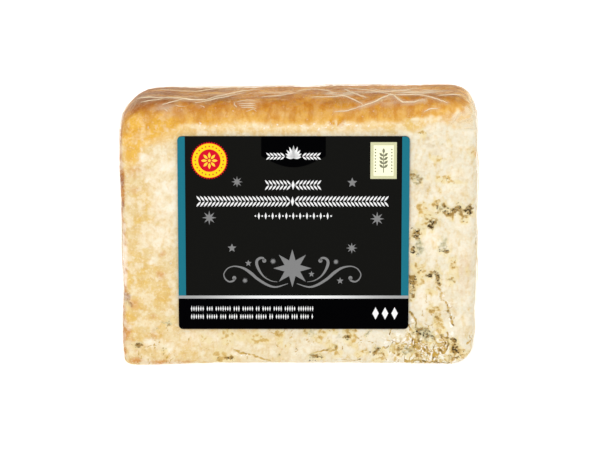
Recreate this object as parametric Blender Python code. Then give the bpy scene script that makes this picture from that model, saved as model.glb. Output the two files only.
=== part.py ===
"""A wedge of blue Stilton, sealed tight in clear film, with a printed label on its upper cut face.

The wedge is a slice of half a drum of cheese. The drum's axis runs along X at the thin tip, the
curved rind is at the back, the drum's flat crusted end is at -X, and the level cut through the
drum's middle is at +X. It lies on one radial cut face. The other one slopes up from the tip to
the rind, and carries the label. Metres, +Z up, origin under the middle of the bounding box.
"""

import math

import bmesh
import bpy
from mathutils import Vector, noise

MM = 0.001

# The slice of the drum
DRUM_RADIUS = 103.7 * MM
SLICE_LENGTH = 126.6 * MM
SLICE_ANGLE = math.radians(36.0)
TIP_START = 4.0 * MM
RIM_ROUND = 6.0 * MM

# From the middle to an end: how much wider the drum gets, and how much nearer the tip comes to its axis
DRUM_SPREAD = 1.0 * MM
TIP_BOW = 0.9 * MM

# How far each end is rounded: where it meets the rind, the tip and the two cut faces
CRUST_END = {"rind": 13.0 * MM, "tip": 3.8 * MM, "face": 2.5 * MM}
CUT_END = {"rind": 9.0 * MM, "tip": 9.0 * MM, "face": 3.0 * MM}
ROUNDED_STRETCH = 13.0 * MM

# The label and where it lies on the sloping face: its middle along X, and from the drum's axis
LABEL_WIDTH = 82.1 * MM
LABEL_HEIGHT = 73.1 * MM
LABEL_THICKNESS = 0.4 * MM
LABEL_CORNER = 1.5 * MM
LABEL_MIDDLE_X = -1.9 * MM
LABEL_MIDDLE_UP = 54.5 * MM
LABEL_GAP = 0.3 * MM
LABEL_MARGIN = 2.0 * MM

# How finely each stretch is divided
FACE_STEPS = 27
RIM_STEPS = 3
RIND_STEPS = 16
TIP_STEPS = 3
MIDDLE_STATIONS = 29
ROUNDED_STATIONS = 7
ROW_SPACING = 3.5 * MM
CORNER_STEPS = 4

# The uneven surface: (height, size of a bump) for each kind of relief
SWELL = (0.55 * MM, 34.0 * MM)
CRUMB = (0.45 * MM, 8.0 * MM)
RIND_RIPPLE = (0.75 * MM, 11.0 * MM)
RELIEF_FADE = 4.0 * MM

# Crumbly hollows: how deep and wide, how much of the noise makes one, and where they begin
PITS = (2.2 * MM, 7.0 * MM)
PIT_LEVEL = 0.12
PIT_SHIFT = Vector((3, 7, 1))
PITTED_STRETCH = 45.0 * MM
PITTED_MIDDLE_UP = 40.0 * MM
PITTED_SLANT = 0.6

# The rind's ripple starts, and is full, this far under the drum's outside
RIND_START = 8.0 * MM
RIND_FULL = 1.0 * MM

HALF_ANGLE = SLICE_ANGLE / 2
UP_FACE = Vector((0, math.cos(SLICE_ANGLE), math.sin(SLICE_ANGLE)))
FACE_NORMAL = Vector((0, -math.sin(SLICE_ANGLE), math.cos(SLICE_ANGLE)))


def polar(radius, angle):
    """A point of the slice's section, as (y, z), with the drum's axis at (0, 0)."""
    return Vector((radius * math.cos(angle), radius * math.sin(angle)))


def spread(start, end, steps):
    """Points from start towards end, without the last one."""
    return [start.lerp(end, i / steps) for i in range(steps)]


def arc(centre, radius, start, end, steps):
    """Points round a centre from one angle towards another, without the last one."""
    turns = [start + (end - start) * i / steps for i in range(steps)]
    return [centre + polar(radius, turn) for turn in turns]


def section(tip_start, rind_radius, face_inset):
    """The rounded sector that the slice shows at one place along the drum's axis."""
    slope = math.sin(HALF_ANGLE)
    tip_round = (tip_start * slope - face_inset) / (1 - slope)
    tip_centre = polar(tip_start + tip_round, HALF_ANGLE)
    rim_reach = rind_radius - RIM_ROUND
    rim_turn = math.asin((face_inset + RIM_ROUND) / rim_reach)
    low_rim = polar(rim_reach, rim_turn)
    high_rim = polar(rim_reach, SLICE_ANGLE - rim_turn)
    quarter = math.pi / 2

    tip_low = tip_centre + polar(tip_round, -quarter)
    tip_high = tip_centre + polar(tip_round, SLICE_ANGLE + quarter)
    rim_low = low_rim + polar(RIM_ROUND, -quarter)
    rim_high = high_rim + polar(RIM_ROUND, SLICE_ANGLE + quarter)
    rind_start, rind_end = rim_turn, SLICE_ANGLE - rim_turn

    points = spread(tip_low, rim_low, FACE_STEPS)
    points += arc(low_rim, RIM_ROUND, -quarter, rind_start, RIM_STEPS)
    points += arc(Vector((0, 0)), rind_radius, rind_start, rind_end, RIND_STEPS)
    points += arc(high_rim, RIM_ROUND, rind_end, SLICE_ANGLE + quarter, RIM_STEPS)
    points += spread(rim_high, tip_high, FACE_STEPS)
    points += arc(tip_centre, tip_round, SLICE_ANGLE + quarter, 2 * math.pi - quarter, TIP_STEPS)
    return points


def pulled_in(gap, radius):
    """How far a quarter-round corner has drawn in, at this distance from the end."""
    short = max(0.0, radius - gap)
    return radius - math.sqrt(radius**2 - short**2)


def stations():
    """Places along X, closer together where the ends are rounded."""
    quarter = math.pi / 2
    gaps = [
        ROUNDED_STRETCH * (1 - math.cos(quarter * i / ROUNDED_STATIONS))
        for i in range(ROUNDED_STATIONS)
    ]
    inner = SLICE_LENGTH - 2 * ROUNDED_STRETCH
    even = [ROUNDED_STRETCH + inner * i / MIDDLE_STATIONS for i in range(MIDDLE_STATIONS + 1)]
    from_end = gaps + even + [SLICE_LENGTH - gap for gap in reversed(gaps)]
    return [distance - SLICE_LENGTH / 2 for distance in from_end]


def loop_at(x):
    """The slice's outline at one place along X, as points in space."""
    crust_gap = x + SLICE_LENGTH / 2
    cut_gap = SLICE_LENGTH / 2 - x
    inset = {
        side: max(pulled_in(crust_gap, CRUST_END[side]), pulled_in(cut_gap, CUT_END[side]))
        for side in CRUST_END
    }
    from_middle = x / (SLICE_LENGTH / 2)
    tip_start = TIP_START - TIP_BOW * from_middle**2 + inset["tip"]
    rind_radius = DRUM_RADIUS + DRUM_SPREAD * from_middle - inset["rind"]
    outline = section(tip_start, rind_radius, inset["face"])
    return [Vector((x, point.x, point.y)) for point in outline]


def across(low, high):
    """A row of points over an end, round the drum's axis, between two points of the end's rim."""
    radius = math.hypot(low.y, low.z)
    start = math.atan2(low.z, low.y)
    turn = math.atan2(high.z, high.y) - start
    steps = max(1, round(radius * turn / ROW_SPACING))
    ring = [polar(radius, start + turn * i / steps) for i in range(1, steps)]
    return [Vector((low.x, point.x, point.y)) for point in ring]


def step(low, high, value):
    """0 below low, 1 above high, and a smooth rise between."""
    share = min(1.0, max(0.0, (value - low) / (high - low)))
    return share * share * (3 - 2 * share)


def rough(point, kind):
    """One kind of relief: its height times smooth noise of its size."""
    height, size = kind
    return height * noise.noise(point / size)


def bare_face(point):
    """0 under the label, where the surface is flat, and 1 away from it."""
    beside = abs(point.x - LABEL_MIDDLE_X) - LABEL_WIDTH / 2 - LABEL_MARGIN
    along = abs(point.dot(UP_FACE) - LABEL_MIDDLE_UP) - LABEL_HEIGHT / 2 - LABEL_MARGIN
    above = abs(point.dot(FACE_NORMAL))
    if above > RELIEF_FADE:
        return 1.0
    return step(0, RELIEF_FADE, max(beside, along))


def pitted(point):
    """Crumbly hollows, towards the cut end and the tip, where the cheese is most veined."""
    depth, size = PITS
    nearness = point.x + (PITTED_MIDDLE_UP - point.dot(UP_FACE)) * PITTED_SLANT
    hollow = max(0.0, noise.noise(point / size + PIT_SHIFT) - PIT_LEVEL)
    return -depth * hollow * step(0, PITTED_STRETCH, nearness)


def relief(point):
    """How far the surface stands out of the plain slice at this point."""
    radius = math.hypot(point.y, point.z)
    on_rind = step(DRUM_RADIUS - RIND_START, DRUM_RADIUS - RIND_FULL, radius)
    height = rough(point, SWELL) + rough(point, CRUMB) * (1 - on_rind)
    height += rough(point, RIND_RIPPLE) * on_rind + pitted(point) * (1 - on_rind)
    return height * step(0, RELIEF_FADE, point.z) * bare_face(point)


def plain_material(name, colour, roughness):
    material = bpy.data.materials.new(name)
    material.use_nodes = True
    shader = material.node_tree.nodes["Principled BSDF"]
    shader.inputs["Base Color"].default_value = (*colour, 1)
    shader.inputs["Roughness"].default_value = roughness
    shader.inputs["Metallic"].default_value = 0.0
    return material


def mesh_object(name, bm, material):
    bmesh.ops.recalc_face_normals(bm, faces=bm.faces)
    mesh = bpy.data.meshes.new(name)
    bm.to_mesh(mesh)
    bm.free()
    mesh.materials.append(material)
    obj = bpy.data.objects.new(name, mesh)
    bpy.context.scene.collection.objects.link(obj)
    return obj


def bridge(bm, ring, following):
    """Quads between two rings with as many points each."""
    for i, corner in enumerate(ring):
        after = (i + 1) % len(ring)
        bm.faces.new((corner, ring[after], following[after], following[i]))


def zip_rows(bm, row, following):
    """Triangles between two rows, whose numbers of points may differ, and whose ends may meet."""
    here = there = 0
    last_here, last_there = len(row) - 1, len(following) - 1
    while here < last_here or there < last_there:
        if (here + 1) * last_there <= (there + 1) * last_here:
            corners = (row[here], row[here + 1], following[there])
            here += 1
        else:
            corners = (row[here], following[there + 1], following[there])
            there += 1
        if len(set(corners)) == len(corners):
            bm.faces.new(corners)


def close_end(bm, rim):
    """Fills one end of the slice with rows from the tip to the rind."""
    rind_last = FACE_STEPS + 2 * RIM_STEPS + RIND_STEPS
    tip_first = rind_last + FACE_STEPS
    row = [rim[0], *reversed(rim[tip_first:])]
    for i in range(1, FACE_STEPS + 1):
        low, high = rim[i], rim[tip_first - i]
        inner = [bm.verts.new(point) for point in across(low.co, high.co)]
        following = [low, *inner, high]
        zip_rows(bm, row, following)
        row = following
    zip_rows(bm, row, rim[FACE_STEPS : rind_last + 1])


def wedge():
    """The cheese inside its film: one closed solid, flat underneath."""
    bm = bmesh.new()
    loops = [[bm.verts.new(point) for point in loop_at(x)] for x in stations()]
    for loop, following in zip(loops, loops[1:]):
        bridge(bm, loop, following)
    close_end(bm, loops[0])
    close_end(bm, loops[-1])
    bmesh.ops.recalc_face_normals(bm, faces=bm.faces)
    bm.normal_update()
    heights = [relief(vert.co) for vert in bm.verts]
    for vert, height in zip(bm.verts, heights):
        vert.co += vert.normal * height
    paste = plain_material("film_sealed_cheese", (0.86, 0.66, 0.38), 0.35)
    obj = mesh_object("stilton_wedge", bm, paste)
    obj.data.shade_smooth()
    return obj


def label():
    """The label: a thin plate with round corners, lying just off the sloping face."""
    bm = bmesh.new()
    half_width = LABEL_WIDTH / 2 - LABEL_CORNER
    half_height = LABEL_HEIGHT / 2 - LABEL_CORNER
    quarter = math.pi / 2
    outline = []
    for turn, (side, end) in enumerate(((1, 1), (-1, 1), (-1, -1), (1, -1))):
        centre = Vector((side * half_width, end * half_height))
        for i in range(CORNER_STEPS + 1):
            outline.append(centre + polar(LABEL_CORNER, quarter * (turn + i / CORNER_STEPS)))
    corners = [bm.verts.new((point.x, point.y, 0)) for point in outline]
    back = bm.faces.new(corners)
    front = bmesh.ops.extrude_face_region(bm, geom=[back])
    raised = [item for item in front["geom"] if isinstance(item, bmesh.types.BMVert)]
    bmesh.ops.translate(bm, verts=raised, vec=(0, 0, LABEL_THICKNESS))
    printed = plain_material("printed_label", (0.012, 0.012, 0.011), 0.4)
    obj = mesh_object("label", bm, printed)
    obj.rotation_euler.x = SLICE_ANGLE
    obj.location = UP_FACE * LABEL_MIDDLE_UP + FACE_NORMAL * LABEL_GAP
    obj.location.x = LABEL_MIDDLE_X
    return obj


def stand_on_origin(body, *others):
    """Moves everything so that the origin is under the middle of the body's bounding box."""
    corners = [vert.co for vert in body.data.vertices]
    low = [min(corner[axis] for corner in corners) for axis in range(3)]
    high = [max(corner[axis] for corner in corners) for axis in range(3)]
    shift = Vector(((low[0] + high[0]) / 2, (low[1] + high[1]) / 2, low[2]))
    for obj in (body, *others):
        obj.location -= shift


def main():
    for old in list(bpy.data.objects):
        bpy.data.objects.remove(old)
    body = wedge()
    stand_on_origin(body, label())


main()
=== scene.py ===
"""Looks of a wedge of blue Stilton, sealed tight in clear film, with a printed label.

Places on the wedge are in millimetres:
  along  from the middle towards the cut end, as +X
  up     from the drum's axis up the sloping face that carries the label
  out    off that face
  wrap   over the upper rim: positive down the rind, negative down the face
The label's print is placed from the label's middle, across and up.
"""

import math

import bmesh
import bpy
import numpy as np
from mathutils import Matrix, Vector, noise


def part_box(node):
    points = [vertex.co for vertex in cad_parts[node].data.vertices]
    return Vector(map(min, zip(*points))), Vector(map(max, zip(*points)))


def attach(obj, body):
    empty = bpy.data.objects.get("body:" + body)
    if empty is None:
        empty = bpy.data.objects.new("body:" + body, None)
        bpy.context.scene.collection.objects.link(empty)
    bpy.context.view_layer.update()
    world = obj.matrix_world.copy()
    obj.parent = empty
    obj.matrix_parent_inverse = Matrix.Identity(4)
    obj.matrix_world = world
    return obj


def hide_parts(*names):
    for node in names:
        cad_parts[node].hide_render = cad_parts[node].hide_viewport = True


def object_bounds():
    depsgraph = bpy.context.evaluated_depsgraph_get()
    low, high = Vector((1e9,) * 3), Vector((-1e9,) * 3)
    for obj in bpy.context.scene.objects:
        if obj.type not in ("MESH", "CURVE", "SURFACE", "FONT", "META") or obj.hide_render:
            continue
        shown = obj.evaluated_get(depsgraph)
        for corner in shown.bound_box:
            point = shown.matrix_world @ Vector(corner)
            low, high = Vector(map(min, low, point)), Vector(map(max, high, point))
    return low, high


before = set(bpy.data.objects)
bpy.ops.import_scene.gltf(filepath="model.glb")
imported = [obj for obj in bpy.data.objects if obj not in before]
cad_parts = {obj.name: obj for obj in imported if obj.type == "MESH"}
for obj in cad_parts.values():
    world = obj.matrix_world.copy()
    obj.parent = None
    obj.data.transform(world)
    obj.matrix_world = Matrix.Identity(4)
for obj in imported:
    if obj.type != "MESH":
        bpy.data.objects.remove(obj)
CAD_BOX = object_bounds()

MM = 0.001

# Without a seed, noise vectors would differ from run to run
noise.seed_set(4)

# The slice of the drum, and the label's place on it
DRUM_RADIUS = 103.7
DRUM_SPREAD = 1.0
HALF_LENGTH = 63.3
SLICE_ANGLE = math.radians(36.0)
LABEL_ALONG = -2.3
LABEL_UP = 54.5
LABEL_OUT = 0.5
UP = np.array((0.0, math.cos(SLICE_ANGLE), math.sin(SLICE_ANGLE)))
OUT = np.array((0.0, -math.sin(SLICE_ANGLE), math.cos(SLICE_ANGLE)))

label_low, label_high = (np.array(corner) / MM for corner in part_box("label"))
LABEL_MIDDLE = (label_low + label_high) / 2
AXIS = LABEL_MIDDLE - (LABEL_ALONG, 0, 0) - UP * LABEL_UP - OUT * LABEL_OUT
LABEL_HALF_WIDTH = (label_high[0] - label_low[0]) / 2
LABEL_HALF_HEIGHT = 36.55
LABEL_TOP = 0.7
CRUST_END = CAD_BOX[0].x / MM - AXIS[0]
CUT_END = CAD_BOX[1].x / MM - AXIS[0]

# The cheese lies this far inside its film
CHEESE_INSET = 0.2
CHEESE_SPACING = 0.95
FILM_SPACING = 0.7
FILM_SHINE = 0.15
FILM_GLOSS = (1.0, 0.91, 0.72, 1)
# The white of the film where it is hazy, also used for the painted highlights along its folds and
# creases
FILM_WHITE = (0.93, 0.80, 0.57, 1)
# How white a fold's crest is at most, and how white the creases are: painted highlights along the
# film's folds
FOLD_HIGHLIGHT = 0.42
CREASE_HIGHLIGHT = 0.64
# How deep each mark sinks into the paste
DARK_SINK = 0.45
GREY_SINK = 0.2
OCHRE_SINK = 0.15
STROKE_SINK = 0.25

# Colours of the paste from the rind inwards, as (depth under the rind, sRGB)
RIND_COLOURS = (
    (-1.0, (178, 111, 30)),
    (0.2, (204, 142, 42)),
    (1.6, (200, 137, 38)),
    (3.2, (204, 147, 48)),
    (4.8, (213, 162, 74)),
    (6.4, (221, 169, 74)),
    (7.6, (230, 188, 106)),
    (8.8, (238, 214, 166)),
    (10.5, (232, 201, 138)),
    (13.0, (235, 211, 162)),
)
CREAM = (231, 223, 201)
WARM_CREAM = (227, 206, 158)
OCHRE_PASTE = (220, 181, 98)
YELLOW_PASTE = (230, 182, 70)
AMBER = (216, 156, 38)
GOLD = (224, 188, 100)
TAN = (214, 164, 104)
PALE = (243, 234, 214)
RUST = (206, 146, 76)
SCAR = (150, 88, 44)
SMUDGE = (206, 184, 142)
CRUST = (196, 136, 62)
CRUST_PALE = (250, 236, 222)
RIND_SHADE = (146, 91, 28)
RIND_GLEAM = (218, 160, 58)


def linear(colour):
    """An sRGB colour of three numbers up to 255, as linear light."""
    shares = np.asarray(colour, dtype=float) / 255
    return np.where(shares <= 0.04045, shares / 12.92, ((shares + 0.055) / 1.055) ** 2.4)


def step(low, high, values):
    """0 at low, 1 at high, and a smooth change between."""
    share = np.clip((values - low) / (high - low), 0, 1)
    return share * share * (3 - 2 * share)


def mixed(first, second, share):
    """Rows of colours between two colours or rows of colours."""
    share = np.asarray(share)[:, None]
    return first * (1 - share) + second * share


def drum_radius(along):
    """The drum's radius, which grows a little towards the cut end."""
    return DRUM_RADIUS + DRUM_SPREAD * along / HALF_LENGTH


def add_object(name, data):
    """A new object in the scene."""
    obj = bpy.data.objects.new(name, data)
    bpy.context.scene.collection.objects.link(obj)
    return obj


def add_mesh(name, bm):
    """A new object in the scene from a bmesh, which is used up."""
    mesh = bpy.data.meshes.new(name)
    bm.to_mesh(mesh)
    bm.free()
    return add_object(name, mesh)


class Surface:
    """Where each point of a piece lies on the wedge, in millimetres."""

    def __init__(self, points):
        self.points = points
        from_axis = points - AXIS
        self.along = from_axis[:, 0]
        self.up = from_axis @ UP
        self.out = from_axis @ OUT
        self.radius = np.hypot(from_axis[:, 1], from_axis[:, 2])
        self.turn = np.arctan2(from_axis[:, 2], from_axis[:, 1])
        self.under_rind = drum_radius(self.along) - self.radius
        self.wrap = self.radius * (SLICE_ANGLE - self.turn) - self.under_rind
        self.from_crust = self.along - CRUST_END
        self.from_cut = CUT_END - self.along
        self.on_face = step(-4.0, -1.5, self.out)
        self.listed = [Vector(point) for point in points.tolist()]
        self.face = np.stack((self.along, self.up), axis=1)

    def bumps(self, size, seed=0, stretch=1.0):
        """Smooth noise between about -1 and 1, with bumps of this size, stretched along."""
        shift = Vector((seed * 13.7, seed * 7.1, seed * 3.3))
        share = Vector((1 / stretch, 1, 1)) / size
        return np.array([noise.noise(point * share + shift) for point in self.listed])

    def seams(self, size, seed=0, bend=0.35):
        """1 on the borders between lumps of this size, and 0 inside them."""
        shift = Vector((seed * 5.3, seed * 11.9, seed * 2.7))
        values = []
        for point in self.listed:
            place = point / size + shift
            place += noise.noise_vector(place * 2) * bend
            near, far = noise.voronoi(place)[0][:2]
            values.append(far - near)
        return 1 - step(0.02, 0.30, np.array(values))


def distance(points, path):
    """How far each point is from a path of straight stretches."""
    nearest = np.full(len(points), np.inf)
    for start, end in zip(path, path[1:]):
        start, run = np.array(start, dtype=float), np.subtract(end, start)
        share = np.clip((points - start) @ run / (run @ run), 0, 1)
        gap = points - start - share[:, None] * run
        nearest = np.minimum(nearest, np.linalg.norm(gap, axis=1))
    return nearest


def patch(points, centre, half_length, half_width, lean=0.0):
    """1 in an oval patch, falling smoothly to 0 a little outside its edge."""
    turn = math.radians(lean)
    gap = points - np.array(centre)
    lengthways = gap @ (math.cos(turn), math.sin(turn)) / half_length
    sideways = gap @ (-math.sin(turn), math.cos(turn)) / half_width
    return 1 - step(0.4, 1.45, np.hypot(lengthways, sideways))


# Vein clusters on the labelled face:
# (along, up, half length, half width, lean), then how ochre, grey and dark each is
VEINS = (
    # Beside the label, from the top down
    (43.0, 91.5, 0.9, 0.9, 0, 0.8, 0.0, 0.3),
    (47.8, 87.7, 4.0, 2.2, 10, 0.2, 0.4, 0.0),
    (61.6, 84.4, 1.0, 1.5, 0, 0.6, 0.0, 0.2),
    (49.0, 82.4, 2.2, 0.7, -14, 0.8, 0.0, 0.0),
    (39.6, 76.2, 1.8, 1.5, -40, 0.9, 0.5, 0.8),
    (41.2, 74.8, 3.2, 2.6, 0, 0.4, 0.8, 0.6),
    (52.1, 74.2, 5.6, 0.7, -8, 0.85, 0.0, 0.0),
    (51.9, 74.6, 0.7, 0.6, 0, 0.8, 0.0, 0.35),
    (48.3, 65.1, 1.9, 1.4, 10, 1.0, 0.3, 0.6),
    (51.0, 63.2, 3.6, 2.2, -14, 0.8, 0.8, 0.8),
    (53.6, 61.6, 2.0, 1.5, 0, 1.0, 0.3, 0.95),
    (56.5, 62.9, 3.0, 2.4, 12, 0.9, 0.6, 0.9),
    (60.4, 62.8, 2.4, 2.3, 20, 0.8, 0.7, 1.15),
    (58.7, 59.8, 1.4, 1.7, 0, 1.0, 0.2, 0.8),
    (42.8, 64.3, 1.8, 1.6, 0, 1.0, 0.1, 0.4),
    (43.6, 62.2, 2.2, 1.0, -60, 0.9, 0.1, 0.2),
    (46.0, 60.0, 2.0, 2.0, 0, 0.8, 0.5, 0.6),
    (46.9, 57.2, 2.2, 2.4, 0, 0.8, 0.8, 1.0),
    (43.8, 57.0, 2.2, 1.6, 20, 0.9, 0.3, 0.3),
    (41.9, 54.0, 3.2, 1.9, 25, 1.0, 0.4, 0.85),
    (41.4, 52.8, 1.5, 1.4, 0, 0.8, 0.2, 1.2),
    (39.9, 55.9, 0.9, 0.9, 0, 0.6, 0.0, 0.9),
    (42.4, 48.9, 1.8, 4.6, 0, 0.3, 0.85, 0.2),
    (40.3, 47.8, 1.4, 1.7, 15, 0.9, 0.2, 1.25),
    (50.9, 49.2, 2.2, 4.6, 0, 0.25, 0.7, 0.1),
    (49.9, 47.8, 1.2, 1.2, 0, 0.6, 0.4, 1.0),
    (51.9, 46.8, 1.3, 1.2, 0, 0.7, 0.3, 1.0),
    (54.4, 43.0, 1.2, 2.0, 0, 0.9, 0.0, 0.5),
    (54.4, 38.6, 1.4, 3.8, 0, 0.45, 0.0, 0.0),
    (42.6, 40.4, 2.8, 1.1, -46, 1.0, 0.1, 0.6),
    (46.4, 38.3, 1.7, 1.5, 0, 0.9, 0.6, 1.15),
    (49.1, 38.0, 1.6, 2.4, 10, 0.7, 0.8, 0.9),
    (49.6, 36.0, 1.0, 2.0, 20, 0.7, 0.3, 1.0),
    (40.3, 36.0, 2.2, 2.6, 0, 1.1, 0.2, 0.85),
    (43.0, 36.0, 2.4, 1.2, 8, 0.8, 0.1, 0.3),
    (53.7, 36.2, 1.5, 1.5, 0, 0.8, 0.6, 0.75),
    (39.9, 31.6, 1.3, 3.4, 0, 1.0, 0.1, 0.9),
    (46.2, 31.6, 1.9, 0.8, -35, 0.75, 0.0, 0.2),
    (59.4, 39.4, 2.0, 1.2, 20, 0.5, 0.0, 0.0),
    (48.2, 25.0, 2.6, 1.4, 0, 0.9, 0.4, 0.4),
    (48.9, 22.0, 1.2, 1.2, 0, 1.0, 0.1, 0.7),
    (49.8, 20.2, 1.5, 1.6, 0, 1.0, 0.4, 0.4),
    (50.2, 16.9, 1.4, 1.4, -20, 1.0, 0.2, 0.5),
    # The crumbly corner at the tip and the cut end
    (41.4, 16.7, 1.5, 2.0, 0, 0.6, 0.7, 0.7),
    (44.8, 15.2, 4.6, 2.3, -26, 0.8, 0.95, 0.75),
    (35.7, 9.0, 1.7, 1.0, 45, 1.0, 0.3, 0.9),
    (33.3, 9.7, 1.3, 1.2, 0, 0.9, 0.2, 0.2),
    (38.4, 8.9, 2.4, 2.0, 0, 0.6, 0.85, 0.55),
    (41.7, 7.0, 0.9, 1.8, 20, 1.0, 0.2, 0.7),
    (55.0, 13.2, 1.3, 1.2, 0, 1.0, 0.2, 1.2),
    (55.9, 9.6, 1.6, 2.8, 0, 1.2, 0.4, 1.0),
    (54.2, 6.3, 1.5, 1.2, 0, 0.9, 0.6, 0.8),
    (56.6, 6.2, 1.2, 1.0, 0, 0.8, 0.3, 1.0),
    (58.6, 7.8, 3.0, 1.6, 22, 1.1, 0.1, 0.7),
    # Under the label, from the crusted end to the cut end
    (-52.0, 17.4, 2.2, 0.9, 0, 0.4, 0.6, 0.0),
    (-47.8, 19.6, 2.8, 1.2, 12, 0.5, 0.8, 0.4),
    (-33.8, 13.9, 1.7, 1.4, 0, 0.9, 0.1, 0.1),
    (-26.4, 15.4, 2.6, 2.0, 0, 0.9, 0.4, 0.2),
    (-25.8, 12.6, 2.0, 1.3, 0, 0.8, 0.2, 0.1),
    (-20.8, 14.6, 2.4, 1.3, 0, 0.6, 0.0, 0.0),
    (-28.6, 6.4, 2.2, 2.6, 0, 1.1, 0.4, 0.3),
    (-25.4, 6.4, 2.4, 0.9, 0, 0.9, 0.1, 0.9),
    (-15.4, 13.6, 2.2, 1.8, 0, 0.9, 0.2, 0.0),
    (-12.3, 13.4, 1.5, 0.9, 0, 0.9, 0.2, 0.1),
    (-6.9, 16.0, 1.0, 1.2, 0, 1.1, 0.1, 0.5),
    (-7.2, 12.9, 0.9, 1.3, 0, 0.8, 0.0, 0.0),
    (-4.0, 10.8, 1.3, 1.3, 0, 0.7, 0.0, 0.0),
    (-7.8, 7.0, 0.6, 1.9, 0, 0.4, 0.7, 0.6),
    (3.8, 16.1, 3.0, 2.0, 0, 0.2, 0.7, 0.1),
    (1.9, 16.6, 0.8, 1.3, 0, 0.9, 0.1, 0.4),
    (6.2, 14.2, 1.2, 1.6, 0, 1.0, 0.1, 0.3),
    (8.2, 16.1, 1.8, 1.2, 0, 1.1, 0.2, 0.5),
    (11.4, 16.7, 2.6, 0.8, 0, 0.7, 0.0, 0.0),
    (14.1, 14.8, 2.0, 2.4, 0, 0.1, 0.55, 0.0),
    (17.9, 16.5, 2.0, 1.2, 0, 1.1, 0.2, 0.6),
    (16.8, 13.9, 1.8, 1.4, 0, 0.8, 0.9, 0.9),
    (18.6, 14.0, 1.3, 1.3, 0, 1.1, 0.1, 0.2),
    (19.4, 12.0, 1.0, 2.0, 0, 0.6, 0.0, 0.0),
    (24.4, 15.8, 1.6, 0.9, 50, 0.6, 0.9, 0.3),
    (10.8, 11.7, 1.7, 1.3, 0, 0.9, 0.1, 0.0),
    (4.6, 6.8, 2.0, 1.3, 0, 0.7, 0.9, 0.7),
    (6.9, 7.1, 1.6, 1.1, 0, 0.7, 0.4, 1.05),
    (13.8, 7.9, 1.5, 0.8, 0, 0.9, 0.0, 0.2),
    (21.8, 8.2, 1.2, 1.0, 0, 0.8, 0.0, 0.0),
    (28.0, 9.8, 1.2, 1.5, 0, 0.8, 0.9, 0.8),
    (28.6, 7.4, 3.0, 2.0, -35, 0.9, 0.4, 0.6),
    (25.4, 8.8, 0.8, 0.8, 0, 0.5, 0.3, 0.9),
    (28.3, 5.6, 2.8, 0.8, 0, 1.0, 0.1, 0.3),
    # Down the crusted side
    (-61.9, 26.6, 1.8, 1.2, 40, 0.5, 0.0, 0.25),
    (-57.4, 11.0, 1.8, 1.1, 10, 0.6, 0.6, 0.8),
    (-48.5, 9.5, 1.8, 1.2, 0, 0.5, 0.45, 0.6),
    (-61.0, 11.5, 1.0, 1.6, 0, 0.6, 0.0, 0.6),
    (-46.0, 21.0, 1.6, 1.0, 0, 0.6, 0.2, 0.3),
)
# How much wider the ochre round a vein reaches than its grey and dark parts
VEIN_HALO = 0.7
# Lines on the labelled face: (points as (along, up), half width, strength)
OCHRE_LINES = (
    (((49.2, 33.4), (52.3, 27.6), (53.5, 23.3), (54.8, 18.4)), 0.6, 0.76),
    (((39.4, 24.0), (40.8, 21.4), (41.8, 19.6), (42.3, 17.4)), 0.45, 1.2),
    (((44.4, 30.6), (46.6, 26.4), (48.4, 22.6), (49.8, 18.2)), 0.4, 0.6),
    (((-24.0, 9.6), (-18.9, 7.9), (-14.9, 6.7), (-11.1, 5.3)), 0.5, 0.8),
    (((-5.0, 17.6), (-7.0, 16.2), (-7.4, 12.5)), 0.35, 0.7),
    (((11.7, 12.0), (12.4, 9.9), (13.2, 8.9)), 0.5, 1.2),
    (((3.0, 7.4), (6.1, 8.6), (9.4, 9.2), (12.8, 9.2)), 0.35, 0.9),
    (((12.9, 5.9), (21.1, 5.7)), 0.4, 0.7),
    (((50.6, 15.0), (53.0, 14.0), (53.2, 12.6), (52.6, 10.3), (52.3, 8.4), (50.0, 9.3)), 0.45, 1.2),
    (((35.6, 9.4), (37.3, 11.5), (38.8, 10.6)), 0.4, 0.9),
    (((40.0, 10.2), (41.4, 11.3), (42.8, 10.6)), 0.45, 1.0),
    (((38.0, 5.6), (43.0, 4.9), (49.6, 4.8)), 0.5, 0.9),
)
# Clusters of short fine veins: how many, their middle, their spread and the deepest of them
STROKE_SEED = 11
STROKES = (
    (100, (45.0, 9.5), (8.0, 4.2), 1.4),
    (30, (-53.5, 10.5), (5.5, 4.0), 0.8),
    (26, (8.0, 11.0), (15.0, 4.0), 0.8),
    (12, (47.0, 20.0), (4.0, 5.0), 0.75),
)
DARK_LINES = (
    (((3.4, 5.2), (7.4, 5.0)), 0.6, 0.7),
    (((27.4, 9.5), (26.4, 7.4)), 0.6, 0.8),
    (((41.4, 7.6), (42.1, 5.9)), 0.6, 0.7),
)
# Pale lines on the labelled face: all but the long one under the rind's band are painted highlights
# beside the film's creases
PALE_LINES_AND_CREASE_HIGHLIGHTS = (
    (((50.6, 31.6), (53.4, 27.4), (54.4, 23.0)), 0.5, 0.5),
    (((53.5, 21.6), (54.0, 18.0), (53.8, 15.0)), 0.5, 0.6),
    (((40.2, 20.4), (41.0, 18.4)), 0.7, 0.8),
    (((-38.0, 95.0), (-20.0, 94.2), (10.0, 94.4), (24.0, 94.8)), 1.2, 0.32),
    (((-23.4, 8.2), (-17.0, 6.6)), 0.7, 0.6),
)

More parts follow.
